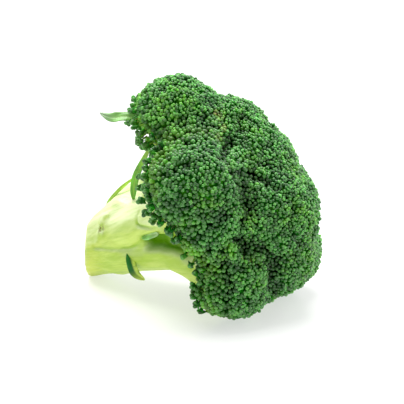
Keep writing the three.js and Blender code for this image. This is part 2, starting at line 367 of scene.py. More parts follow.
floretSettings = {
    "skinCell": 1.25 * mm,
    "fillStep": 4.0 * mm,  # grooves narrower than four of these are closed, in two steps
    "fillRounds": 3,  # smoothing before each of those steps
    "soften": 4,
    "sink": 2.0 * mm,  # how far the dark core lies under the skin
    "slopeSink": 3.0 * mm,  # and how much further where the skin is evened out
    "candidates": 3.4e6,  # places tried for buds on a square metre
    "besideStalk": 1.2 * mm,  # no bud is nearer to the stalk
    "budFine": 1.8 * mm,  # across a bud in the middle of a dome
    "budCoarse": 2.6 * mm,  # and at its rim
    "bigger": {"floret_side_near": 1.16, "floret_lower_side_near": 1.1, "floret_bottom_near": 1.12},
    "youngFrom": 54,  # degrees from the dome's middle over which the buds get yellower
    "youngTo": 92,
    # a few dried buds: across and up in millimetres seen from the picture's side
    "tiredSpots": [(16.2, 98.5), (18.0, 96.4), (19.9, 91.0), (16.9, 85.6)],
    "tiredWidth": 1.5 * mm,
    # painted light and shade for each floret: the upper florets a little lighter, those that face the
    # camera darker
    "paintedLightByFloret": {
        "floret_top_near": 1.05,
        "floret_upper_middle": 1.05,
        "floret_side_near": 0.86,
        "floret_front": 0.96,
        "floret_bottom_middle": 0.90,
    },
    "crowding": 0.68,  # least distance between buds, in bud widths
    "budLength": 1.25,
    "lean": 0.17,
    "unevenness": 0.5 * mm,
    "moundSpacing": 6.6 * mm,  # of the small rosettes that the buds stand in
    "moundHeight": 1.7 * mm,
    "crack": 0.05,  # width of the bare cracks between rosettes, in spacings
    "press": 1.6 * mm,
    "lastCover": 114,  # degrees from the dome's middle where the buds end
    "rimFrom": 94,
    "gapsFrom": 76,  # from here to the last buds, gaps open between the clusters
    "gapSpacing": 3.6 * mm,
    "seed": 11,
}


def floretFacts():
    tilt = math.radians(crown["tilt"])
    along = np.array([math.cos(tilt), 0, math.sin(tilt)])
    near = np.array([0, -1, 0])
    up = np.array([-math.sin(tilt), 0, math.cos(tilt)])
    shift = np.array(frameShift)
    root = np.array(crown["root"]) - shift
    facts = {}
    for name, (a, n, u, radius) in floretPlaces.items():
        middle = np.array(crown["middle"]) - shift + a * along + n * near + u * up
        facts[name] = {"middle": middle * mm, "faces": unit(middle - root), "radius": radius * mm}
    return facts


def crownSkin(facts):
    # one skin over all the florets, so that buds also cross the grooves between them
    settings = floretSettings
    bm = bmesh.new()
    for name in facts:
        bm.from_mesh(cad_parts[name].data)
    bmesh.ops.remove_doubles(bm, verts=bm.verts, dist=2e-6)
    mesh = bpy.data.meshes.new("crown_skin")
    bm.to_mesh(mesh)
    bm.free()
    skin = addObject("crown_skin", mesh)
    reskin(skin, settings["skinCell"])
    for step in (1, 1, -1, -1):
        grown = relax(getPoints(skin.data), getEdges(skin.data), settings["fillRounds"])
        setPoints(skin.data, grown)
        setPoints(skin.data, grown + getNormals(skin.data) * settings["fillStep"] * step)
        reskin(skin, settings["skinCell"])
    edges = getEdges(skin.data)
    points = relax(getPoints(skin.data), edges, settings["soften"])
    setPoints(skin.data, points)
    back = viewAxes()[0]
    share = slopeShare(points, smoothStep(getNormals(skin.data) @ back, 0.02, 0.3))[:, None]
    points = points * (1 - share) + relax(points, edges, crownSlope["rounds"]) * share
    setPoints(skin.data, points)
    normals = getNormals(skin.data)
    points = points - normals * grooveDepth(points, smoothStep(normals @ back, 0.02, 0.3))[:, None]
    points = relax(points, edges, 1)
    setPoints(skin.data, points)
    normals = getNormals(skin.data)
    mounds = np.sqrt(np.minimum(1, crackDistance(points) / 0.5))
    points = points + normals * (settings["moundHeight"] * (mounds - 0.75))[:, None]
    # the lowest buds are pressed in by the table
    pressed = settings["press"] * smoothStep(-points[:, 2], -14 * mm, -2 * mm)
    points = points - normals * pressed[:, None]
    points[:, 2] = np.maximum(points[:, 2], 1.0 * mm)
    setPoints(skin.data, points)
    smooth = relax(points, edges, 60)
    height = np.einsum("ij,ij->i", points - smooth, normals) / (1.2 * mm)
    # each point belongs to the floret whose dome it is nearest to
    share = [np.linalg.norm(points - f["middle"], axis=1) / f["radius"] for f in facts.values()]
    owner = np.stack(share).argmin(axis=0)
    middles = np.array([f["middle"] for f in facts.values()])
    faces = np.array([f["faces"] for f in facts.values()])
    outward = unit(points - middles[owner])
    facing = np.degrees(np.arccos(np.clip(np.einsum("ij,ij->i", outward, faces[owner]), -1, 1)))
    return {"object": skin, "points": points, "normals": getNormals(skin.data), "height": height,
            "facing": facing, "owner": owner}


# the grooves that show from the picture's side, as lines across and up in millimetres seen from there,
# with their width and depth
crownGrooves = {
    "main": (
        [(22, 83), (21, 75), (27, 67), (31.5, 58), (32.6, 51), (31.4, 42), (28, 35), (31.5, 28)],
        3.4,
        4.0,
    ),
    "lower end": ([(33, 30), (40, 27.8), (44.6, 21.5), (46, 12), (48, -1)], 3.8, 3.3),
    "cross": ([(3.8, 23), (10.3, 25.5), (18.7, 28.3), (28, 32)], 2.8, 2.6),
    "right": (
        [(33, 67.4), (42.2, 62.3), (50.3, 57.2), (55.5, 52), (55, 45.6), (53.5, 38), (59, 31.6)],
        2.2,
        2.0,
    ),
    "top": ([(30, 94.5), (27.3, 88.2), (22, 83)], 3.4, 2.6),
    "upper left": ([(-4, 84.6), (1, 82), (8.8, 79), (20, 76)], 2.4, 1.2),
    "left": ([(-14, 64), (-9.5, 67), (-2, 70.8), (4, 71)], 2.2, 1.5),
    "low middle": ([(19.9, 22), (22, 10), (21, -4)], 2.8, 1.8),
}

# where the top floret runs into the near side one without a step
crownSlope = {
    "line": [(-14, 80), (-6, 85), (2, 87), (10, 88.5), (19, 88)],
    "width": 8.5,
    "rounds": 260,
}


def slopeShare(points, seen):
    # 1 along the slope and 0 away from it, on the side where seen is 1
    right, up = viewAxes()[1:]
    flatPoints = np.stack([points @ right, points @ up], axis=1)
    near = lineDistance(flatPoints, crownSlope["line"]) / (crownSlope["width"] * mm)
    return seen * np.exp(-near ** 4)


def grooveDepth(points, seen):
    # seen is 1 on the side that the grooves are on and 0 elsewhere
    right, up = viewAxes()[1:]
    flatPoints = np.stack([points @ right, points @ up], axis=1)
    depth = np.zeros(len(points))
    ragged = 1 + 0.5 * noiseAt(points, 1 / (5 * mm), (2, 8, 5))
    for line, width, deep in crownGrooves.values():
        depth += deep * mm * np.exp(-(lineDistance(flatPoints, line) * ragged / (width * mm)) ** 2)
    return depth * seen


def crackDistance(points):
    # how far each point is from the crack between two rosettes, in spacings
    found = np.zeros(len(points))
    for i, p in enumerate(points):
        near, _ = noise.voronoi(Vector(p) / floretSettings["moundSpacing"])
        found[i] = near[1] - near[0]
    return found


def makeCore(nodeName, facts):
    # the twigs under the buds, as one dark body
    settings = floretSettings
    core = cadCopy(nodeName, nodeName + "_core")
    reskin(core, settings["skinCell"])
    mesh = core.data
    points = relax(getPoints(mesh), getEdges(mesh), 5)
    setPoints(mesh, points)
    outward = unit(points - facts["middle"])
    facing = np.degrees(np.arccos(np.clip(outward @ facts["faces"], -1, 1)))
    normals = getNormals(mesh)
    back = viewAxes()[0]
    seen = smoothStep(points @ back, 25 * mm, 45 * mm)
    groove = grooveDepth(points, seen)
    sink = settings["sink"] + 0.4 * groove + settings["slopeSink"] * slopeShare(points, seen)
    setPoints(mesh, points - normals * sink[:, None] - back * 1.2 * groove[:, None])
    storeFloat(mesh, "under", smoothStep(facing, 82, 100))
    # how much painted shade the core gets in a groove
    storeFloat(mesh, "pit", smoothStep(groove, 0.3 * mm, 2.0 * mm))
    return core


def triangleList(mesh):
    mesh.calc_loop_triangles()
    triangles = np.zeros(len(mesh.loop_triangles) * 3, np.int64)
    mesh.loop_triangles.foreach_get("vertices", triangles)
    return triangles.reshape(-1, 3)


def scatterCandidates(skin, density, random):
    # points spread evenly by area over the skin, with the skin's values there
    triangles = triangleList(skin["object"].data)
    points = skin["points"]
    a, b, c = (points[triangles[:, k]] for k in range(3))
    area = 0.5 * np.linalg.norm(np.cross(b - a, c - a), axis=1)
    area = area * (skin["facing"][triangles[:, 0]] < floretSettings["lastCover"] + 2)
    count = int(area.sum() * density)
    chosen = random.choice(len(triangles), count, p=area / area.sum())
    u, v = random.random(count), random.random(count)
    flip = u + v > 1
    u[flip], v[flip] = 1 - u[flip], 1 - v[flip]
    weights = np.stack([1 - u - v, u, v], axis=1)
    corners = triangles[chosen]

    def blend(values):
        picked = values[corners]
        return (picked * (weights if picked.ndim == 2 else weights[:, :, None])).sum(axis=1)

    return {
        "point": blend(points),
        "normal": unit(blend(skin["normals"])),
        "height": blend(skin["height"]),
        "facing": blend(skin["facing"]),
        "owner": skin["owner"][corners[:, 0]],
    }


def clearOf(points, tree, distance):
    return np.array([tree.find_nearest(Vector(p), distance)[0] is None for p in points])


def thinOut(points, widths, crowding):
    # keeps a point where no kept point is nearer than the two buds' mean width times the crowding
    cell = widths.max() * crowding
    grid = {}
    kept = []
    keys = np.floor(points / cell).astype(int).tolist()
    places = points.tolist()
    sizes = (widths * crowding * 0.5).tolist()
    around = [(dx, dy, dz) for dx in (-1, 0, 1) for dy in (-1, 0, 1) for dz in (-1, 0, 1)]
    for i, (x, y, z) in enumerate(keys):
        px, py, pz = places[i]
        mine = sizes[i]
        free = True
        for dx, dy, dz in around:
            for qx, qy, qz, other in grid.get((x + dx, y + dy, z + dz), ()):
                least = mine + other
                if (px - qx) ** 2 + (py - qy) ** 2 + (pz - qz) ** 2 < least * least:
                    free = False
                    break
            if not free:
                break
        if free:
            grid.setdefault((x, y, z), []).append((px, py, pz, mine))
            kept.append(i)
    return np.array(kept)


budShape = {
    "sides": 8,
    # height, radius, how deep the creases between the four sepals are, and colour place from foot to tip
    "rings": [
        (0.0, 0.37, 0.04, 0.20),
        (0.42, 0.50, 0.08, 0.50),
        (0.78, 0.45, 0.12, 0.80),
        (0.96, 0.24, 0.20, 0.92),
    ],
    "foot": -0.80,
    "top": (0.92, 1.0),
}


def budMesh():
    # a closed bud one unit wide and high on its short stalk
    rings, sides = budShape["rings"], budShape["sides"]
    verts = [(0, 0, budShape["foot"])]
    tips = [0.0]
    for z, r, crease, tip in rings:
        for k in range(sides):
            turn = 2 * math.pi * (k + 0.2 * math.sin(3 * k)) / sides
            reach = r * (1 - crease * (k % 2))
            verts.append((reach * math.cos(turn), reach * math.sin(turn), z))
            tips.append(tip - 0.25 * (k % 2) * (z > 0.2))
    verts.append((0, 0, budShape["top"][0]))
    tips.append(budShape["top"][1])
    faces = [(0, 1 + (k + 1) % sides, 1 + k) for k in range(sides)]
    for ring in range(len(rings) - 1):
        low, high = 1 + ring * sides, 1 + (ring + 1) * sides
        for k in range(sides):
            after = (k + 1) % sides
            faces.append((low + k, low + after, high + after, high + k))
    last = 1 + (len(rings) - 1) * sides
    faces += [(last + k, last + (k + 1) % sides, len(verts) - 1) for k in range(sides)]
    mesh = bpy.data.meshes.new("bud")
    mesh.from_pydata(verts, [], faces)
    mesh.polygons.foreach_set("use_smooth", [True] * len(mesh.polygons))
    storeFloat(mesh, "tip", tips)
    storeFloat(mesh, "isBud", [1.0] * len(verts))
    return mesh


def namedAttribute(nodes, name, kind):
    node = nodes.new("GeometryNodeInputNamedAttribute")
    node.data_type = kind
    node.inputs["Name"].default_value = name
    return node


def makeBudTree(material):
    # puts a bud on every point, turned and sized by the point's own values, and adds the core
    tree = bpy.data.node_groups.new("buds on a floret", "GeometryNodeTree")
    face = tree.interface
    face.new_socket("Geometry", in_out="INPUT", socket_type="NodeSocketGeometry")
    face.new_socket("Bud", in_out="INPUT", socket_type="NodeSocketObject")
    face.new_socket("Core", in_out="INPUT", socket_type="NodeSocketObject")
    length = face.new_socket("Bud Length", in_out="INPUT", socket_type="NodeSocketFloat")
    length.default_value = floretSettings["budLength"]
    face.new_socket("Geometry", in_out="OUTPUT", socket_type="NodeSocketGeometry")
    nodes, links = tree.nodes, tree.links
    given = nodes.new("NodeGroupInput")
    result = nodes.new("NodeGroupOutput")
    toPoints = nodes.new("GeometryNodeMeshToPoints")
    bud = nodes.new("GeometryNodeObjectInfo")
    core = nodes.new("GeometryNodeObjectInfo")
    spin = namedAttribute(nodes, "spin", "FLOAT_VECTOR")
    size = namedAttribute(nodes, "size", "FLOAT_VECTOR")
    isBud = namedAttribute(nodes, "isBud", "FLOAT")
    toRotation = nodes.new("FunctionNodeEulerToRotation")
    tall = nodes.new("ShaderNodeCombineXYZ")
    tall.inputs["X"].default_value = 1.0
    tall.inputs["Y"].default_value = 1.0
    whole = nodes.new("ShaderNodeVectorMath")
    whole.operation = "MULTIPLY"
    instances = nodes.new("GeometryNodeInstanceOnPoints")
    join = nodes.new("GeometryNodeJoinGeometry")
    realize = nodes.new("GeometryNodeRealizeInstances")
    paint = nodes.new("GeometryNodeSetMaterial")
    paint.inputs["Material"].default_value = material
    links.new(given.outputs["Geometry"], toPoints.inputs["Mesh"])
    links.new(given.outputs["Bud"], bud.inputs["Object"])
    links.new(given.outputs["Core"], core.inputs["Object"])
    links.new(toPoints.outputs["Points"], instances.inputs["Points"])
    links.new(bud.outputs["Geometry"], instances.inputs["Instance"])
    links.new(spin.outputs["Attribute"], toRotation.inputs["Euler"])
    links.new(toRotation.outputs["Rotation"], instances.inputs["Rotation"])
    links.new(given.outputs["Bud Length"], tall.inputs["Z"])
    links.new(size.outputs["Attribute"], whole.inputs[0])
    links.new(tall.outputs["Vector"], whole.inputs[1])
    links.new(whole.outputs["Vector"], instances.inputs["Scale"])
    links.new(core.outputs["Geometry"], join.inputs["Geometry"])
    links.new(instances.outputs["Instances"], join.inputs["Geometry"])
    links.new(join.outputs["Geometry"], realize.inputs["Geometry"])
    links.new(realize.outputs["Geometry"], paint.inputs["Geometry"])
    links.new(isBud.outputs["Attribute"], paint.inputs["Selection"])
    links.new(paint.outputs["Geometry"], result.inputs["Geometry"])
    return tree


def setInput(modifier, name, value):
    for item in modifier.node_group.interface.items_tree:
        if item.item_type == "SOCKET" and item.in_out == "INPUT" and item.name == name:
            modifier[item.identifier] = value


def eulersFor(directions, random):
    found = np.zeros((len(directions), 3))
    for i, direction in enumerate(directions):
        turn = Vector(direction).to_track_quat("Z", "Y")
        spin = Quaternion((0, 0, 1), random.random() * 2 * math.pi)
        found[i] = (turn @ spin).to_euler()
    return found


def placeBuds(skin, stalkTree, random):
    settings = floretSettings
    found = scatterCandidates(skin, settings["candidates"], random)
    keep = found["facing"] < settings["lastCover"]
    found = {key: value[keep] for key, value in found.items()}
    keep = clearOf(found["point"], stalkTree, settings["besideStalk"])
    patchy = noiseAt(found["point"], 1 / (9 * mm), (3, 1, 4))
    keep &= crackDistance(found["point"]) > settings["crack"] * smoothStep(patchy, -0.5, 0.3)
    loose = noiseAt(found["point"], 1 / settings["gapSpacing"], (7, 2, 9))
    fade = smoothStep(found["facing"], settings["gapsFrom"], settings["lastCover"])
    keep &= loose < 0.75 - 0.75 * fade
    found = {key: value[keep] for key, value in found.items()}
    rim = smoothStep(found["facing"], 15, 95)
    grow = random.normal(1, 0.11, len(rim)).clip(0.76, 1.26)
    grow *= np.array([settings["bigger"].get(name, 1.0) for name in floretPlaces])[found["owner"]]
    found["width"] = (settings["budFine"] + (settings["budCoarse"] - settings["budFine"]) * rim) * grow
    # the last buds before the underside stand further apart
    sparse = 1 + 0.45 * smoothStep(found["facing"], settings["rimFrom"], settings["lastCover"])
    kept = thinOut(found["point"], found["width"] * sparse, settings["crowding"])
    return {key: value[kept] for key, value in found.items()}


sprigSettings = {
    "from": 90,  # degrees from the dome's middle
    "to": 116,
    "spacing": 3.4 * mm,
    "stemRadius": 0.55 * mm,
    "budWidth": 2.5 * mm,
    "length": {"floret_top_near": 1.4, "floret_side_near": 1.8, "floret_bottom_near": 1.7},  # millimetres
    "otherLength": 2.0,
    "droop": {"floret_top_near": 5.0},  # those that hang down are longer by up to this many times
    "often": {"floret_top_near": 0.8, "floret_side_near": 0.8, "floret_bottom_near": 0.55},
    "otherOften": 0.4,
    "clearOfDomes": 1.02,  # of the next dome's radius
    "clearOfTable": 6 * mm,
    "clearOfStalk": 3 * mm,
}

# clusters that hang out beyond the rims on the picture's side:
# across, up and towards the camera, in millimetres
hangingSprigs = {
    "floret_top_near": [
        (-25.0, 92.4, 33), (-24.8, 88.1, 32), (-25.6, 84.0, 32), (-23.2, 81.4, 33), (-21.8, 89.2, 34),
        (-19.0, 85.4, 35), (-22.6, 95.6, 34), (-18.4, 81.6, 36),
    ],
    "floret_side_near": [
        (-23.5, 65.4, 55), (-24.0, 59.6, 55), (-23.0, 53.0, 56), (-20.4, 46.6, 57), (-16.8, 42.4, 58),
        (-19.6, 62.2, 57), (-18.6, 56.6, 58), (-14.6, 46.4, 59), (-11.8, 43.0, 60),
    ],
}


def sprigBuds(made, tip, aim, count, grow, random):
    for _ in range(count):
        width = sprigSettings["budWidth"] * random.uniform(0.78, 1.12) * grow
        turn = unit(aim + random.normal(0, 0.6, 3))
        made["point"].append(tip + turn * width * 0.75)
        made["aim"].append(turn)
        made["width"].append(width)


def makeSprigs(buds, facts, stalkTree, random):
    # small loose clusters on pale stems that stand out from a dome's rim, and where their buds go
    settings = sprigSettings
    names = list(facts)
    middles = np.array([f["middle"] for f in facts.values()])
    radii = np.array([f["radius"] for f in facts.values()])
    rim = np.where((buds["facing"] > settings["from"]) & (buds["facing"] < settings["to"]))[0]
    taken = []
    sprigs = {name: {"stems": [], "point": [], "aim": [], "width": []} for name in names}
    for i in random.permutation(rim):
        name = names[buds["owner"][i]]
        fact = facts[name]
        root = buds["point"][i]
        if random.random() > settings["often"].get(name, settings["otherOften"]):
            continue
        if any(np.linalg.norm(root - other) < settings["spacing"] for other in taken):
            continue
        outward = unit(root - fact["middle"])
        aim = unit(outward - 0.25 * fact["faces"] + random.normal(0, 0.22, 3) - np.array([0, 0, 0.1]))
        length = settings["length"].get(name, settings["otherLength"]) * random.uniform(0.5, 1.1) * mm
        length *= 1 + settings["droop"].get(name, 1.0) * max(0, -aim[2])
        tip = root + aim * length
        share = np.linalg.norm(tip - middles, axis=1) / radii
        share[buds["owner"][i]] = 9
        besideStalk = stalkTree.find_nearest(Vector(tip), settings["clearOfStalk"])[0] is not None
        if share.min() < settings["clearOfDomes"] or tip[2] < settings["clearOfTable"] or besideStalk:
            continue
        taken.append(root)
        made = sprigs[name]
        made["stems"].append((root - aim * 3.5 * mm - fact["faces"] * 1.5 * mm, root, tip))
        sprigBuds(made, tip, aim, int(random.integers(3, 7)), 1.0, random)
    back, right, up = viewAxes()
    for name, tips in hangingSprigs.items():
        fact = facts[name]
        for across, upward, near in tips:
            tip = (right * across + up * upward + back * near) * mm
            away = tip - fact["middle"]
            root = fact["middle"] + away * 0.86 * fact["radius"] / np.linalg.norm(away)
            aim = unit(tip - root + random.normal(0, 0.3, 3) * mm)
            made = sprigs[name]
            made["stems"].append((root - aim * 2 * mm, root * 0.5 + tip * 0.5, tip))
            sprigBuds(made, tip - aim * 0.8 * mm, aim, int(random.integers(4, 7)), 1.08, random)
    return sprigs


def addStems(core, stems):
    # five-sided tapering stems, joined into the core's own mesh
    bm = bmesh.new()
    bm.from_mesh(core.data)
    under = bm.verts.layers.float["under"]
    for low, middle, high in stems:
        rows = []
        for t in (0.0, 0.35, 0.7, 1.0):
            here = low * (1 - t) ** 2 + middle * 2 * t * (1 - t) + high * t * t
            ahead = Vector(unit((middle - low) * (1 - t) + (high - middle) * t))
            turn = ahead.to_track_quat("Z", "Y")
            radius = sprigSettings["stemRadius"] * (1.15 - 0.45 * t)
            row = []
            for k in range(5):
                angle = 2 * math.pi * k / 5
                spoke = turn @ Vector((math.cos(angle) * radius, math.sin(angle) * radius, 0))
                vert = bm.verts.new(Vector(here) + spoke)
                vert[under] = 1.0
                row.append(vert)
            rows.append(row)
        for lower, upper in zip(rows[:-1], rows[1:]):
            for k in range(5):
                bm.faces.new((lower[k], lower[(k + 1) % 5], upper[(k + 1) % 5], upper[k])).smooth = True
        bm.faces.new(rows[0][::-1])
        bm.faces.new(rows[-1])
    bm.to_mesh(core.data)
    bm.free()


def makeFlorets():
    settings = floretSettings
    random = np.random.default_rng(settings["seed"])
    facts = floretFacts()
    skin = crownSkin(facts)
    print("crown skin", len(skin["points"]), "points")
    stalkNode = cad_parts["stalk"].data
    stalkTree = BVHTree.FromPolygons(
        [v.co for v in stalkNode.vertices], [list(p.vertices) for p in stalkNode.polygons]
    )
    buds = placeBuds(skin, stalkTree, random)
    print("buds:", len(buds["width"]))
    sprigs = makeSprigs(buds, facts, stalkTree, random)
    bpy.data.objects.remove(skin["object"])

    budMaterial, coreMaterial = makeBudMaterial(), makeCoreMaterial()
    tree = makeBudTree(budMaterial)
    bud = addObject("bud_pattern", budMesh())
    back, right, up = viewAxes()
    for index, name in enumerate(facts):
        mine = buds["owner"] == index
        loose = sprigs[name]
        extra = len(loose["width"])
        point = np.concatenate([buds["point"][mine], np.reshape(loose["point"], (extra, 3))])
        normal = np.concatenate([buds["normal"][mine], np.reshape(loose["aim"], (extra, 3))])
        width = np.concatenate([buds["width"][mine], loose["width"]])
        height = np.concatenate([buds["height"][mine], np.full(extra, 0.4)])
        stray = np.concatenate([np.zeros(mine.sum()), random.uniform(0.0, 0.45, extra)])
        young = smoothStep(buds["facing"][mine], settings["youngFrom"], settings["youngTo"])
        young = np.concatenate([young, np.full(extra, 0.35)])
        flatPoints = np.stack([point @ right, point @ up], axis=1)
        spots = []
        for spot in settings["tiredSpots"]:
            spots.append(np.linalg.norm(flatPoints - np.array(spot) * mm, axis=1))
        tired = np.exp(-(np.min(spots, axis=0) / settings["tiredWidth"]) ** 2) * (normal @ back > 0.1)
        tired = tired * random.uniform(0.2, 1, len(width))
        aim = unit(normal + random.normal(0, settings["lean"], normal.shape))
        swell = noiseAt(point, 1 / (4 * mm), (index * 7.1, 0, 0))
        lift = settings["unevenness"] * (swell + random.normal(0, 0.4, len(width))) * (stray == 0)
        seat = point + normal * lift[:, None] - aim * (width * settings["budLength"] * 0.85)[:, None]
        stretch = random.normal(1, 0.08, len(width)).clip(0.85, 1.15)
        tall = random.normal(1, 0.1, len(width)).clip(0.8, 1.25)
        seat[:, 2] = np.maximum(seat[:, 2], width * 0.55)
        low = seat[:, 2] + aim[:, 2] * width * tall * settings["budLength"] < width * 0.5
        aim[low, 2] = np.maximum(aim[low, 2], -0.05)
        size = np.stack([width * stretch, width / stretch, width * tall], axis=1)
        mesh = bpy.data.meshes.new(name)
        mesh.from_pydata(seat.tolist(), [], [])
        storeFloat(mesh, "tint", random.random(len(width)))
        storeFloat(mesh, "height", height)
        storeFloat(mesh, "stray", stray)
        storeFloat(mesh, "young", young)
        storeFloat(mesh, "tired", tired)
        # the floret's painted light and shade factor
        storeFloat(mesh, "tone", np.full(len(width), settings["paintedLightByFloret"].get(name, 1.0)))
        storeVectors(mesh, "size", size)
        storeVectors(mesh, "spin", eulersFor(aim, random))
        piece = addObject(name + "_buds", mesh)
        core = makeCore(name, facts[name])
        addStems(core, loose["stems"])
        core.data.materials.append(coreMaterial)
        modifier = piece.modifiers.new("buds", "NODES")
        modifier.node_group = tree
        setInput(modifier, "Bud", bud)
        setInput(modifier, "Core", core)
        setInput(modifier, "Bud Length", settings["budLength"])
        applyAll(piece)
        bpy.data.objects.remove(core)
        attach(piece, "root")
        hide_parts(name)
        print(name, len(width), "buds", len(loose["stems"]), "sprigs", len(piece.data.polygons), "faces")
    bpy.data.objects.remove(bud)


# Stalk

stalkSettings = {
    "skinCell": 0.9 * mm,
    "relaxRounds": 16,
    "cutRounds": 4,  # the rim of the cut stays sharper
    "hollowRounds": 70,  # smoothing against which the hollows are found
    "swell": 0.35 * mm,  # gives back what the relaxing takes
    "fibreHeight": 0.30 * mm,
    "fibreSource": (-118.0, 5.0, 2.0),  # the point that all the fibres spread from, in millimetres
    "cutPoint": (-68.3, 4.2, 16.0),
    "cutNormal": (-0.90, -0.41, 0.12),
    "lightFrom": (-0.20, -0.45, 0.87),  # the skin is palest where it faces this way: its waxy bloom, and a painted highlight
    # the pale colour where the skin faces the light: its waxy bloom and a painted highlight
    "waxy": (230, 242, 188),
    "fresh": (172, 206, 60),
    "streak": (204, 228, 104),
    # painted shade: darker green on the side away from the camera
    "farSide": (156, 190, 92),
    # deep green: painted shade in the hollows, dents and next to the table, and the stub's own green
    "deep": (106, 162, 10),
    "cut": (206, 214, 112),
    "pith": (220, 226, 160),
    "ring": (172, 196, 92),
    "butt": (206, 216, 74),
    "scar": (112, 92, 30),
}

# marks on the skin, in millimetres in the frame: where, how wide, how far they stand out
# and how green they are; the green is painted shade in the dents and the hollow, and the stub's own colour
stalkMarks = {
    "crease": {
        "line": [(-49, -18.7, 25), (-31, -21, 27.7), (-22, -21.6, 30), (-10, -27, 37), (-2, -29, 41)],
        "width": 1.2,
        "rise": -1.0,
        "green": 0.30,
    },
    "hollow": {
        "line": [(-6, -27, 37.6), (1, -28.5, 39.6), (10, -28, 39.7), (20, -28.5, 39.3)],
        "width": 3.3,
        "rise": -6.5,
        "green": 1.4,
    },
    "scar knob": {
        "line": [(-40.5, -20.3, 43), (-41, -20.5, 36)],
        "width": 4.0,
        "rise": 1.6,
        "green": 0.0,
    },
    "scar dent": {
        "line": [(-41.6, -20.6, 36.8), (-41.2, -20.5, 38.4)],
        "width": 1.5,
        "rise": -1.6,
        "green": 0.3,
    },
    "shoulder": {
        "line": [(-47, -12, 49), (-41, -10, 55), (-35, -8, 60)],
        "width": 7.0,
        "rise": -1.9,
        "green": 0.0,
    },
    "ridge": {
        "line": [(-56, -1.5, 46), (-46, -3, 54), (-36, -3, 62)],
        "width": 8.0,
        "rise": -2.4,
        "green": 0.0,
    },
    "scar rim": {
        "line": [(-44.5, -19.6, 41), (-43, -19.5, 45), (-38, -20, 46)],
        "width": 1.2,
        "rise": 0.9,
        "green": 0.0,
    },
    "rib": {
        "line": [(-38, -19, 47), (-43, -20.5, 36), (-47, -20, 28)],
        "width": 1.8,
        "rise": 0.6,
        "green": 0.0,
    },
    "upper rib": {
        "line": [(-36, -16, 52), (-22, -21, 54), (-8, -27, 57)],
        "width": 2.2,
        "rise": 0.9,
        "green": 0.0,
    },
    "branch top": {
        "line": [(-9, -26, 31), (-6, -26, 32), (2, -27.7, 33.5), (10, -28.5, 33.5), (21, -30, 31)],
        "width": 3.0,
        "rise": 1.3,
        "green": 0.0,
    },
    "branch bump": {
        "line": [(9, -28, 37), (16, -29, 35)],
        "width": 2.2,
        "rise": 1.6,
        "green": 0.12,
    },
    "branch foot": {
        "line": [(-20, -22, 22), (-8, -23.5, 22), (6, -26, 25)],
        "width": 2.4,
        "rise": 0.5,
        "green": 0.10,
    },
    "ledge": {
        "line": [(-8, -31.2, 50.8), (6, -35.4, 52.4)],
        "width": 3.0,
        "rise": 1.3,
        "green": 0.0,
    },
    "under the ledge": {
        "line": [(-10.3, -31, 47.0), (-0.4, -33.2, 47.2), (7.6, -35.6, 49.8)],
        "width": 0.9,
        "rise": -1.6,
        "green": 0.7,
    },
    "beside the ledge": {
        "line": [(-11, -29.3, 54), (-10.5, -31, 47.4)],
        "width": 0.8,
        "rise": -1.1,
        "green": 0.4,
    },
    "stub": {
        "line": [(7.5, -35.5, 51.4), (7.4, -33, 46.5)],
        "width": 1.3,
        "rise": 1.4,
        "green": 0.4,
    },
}


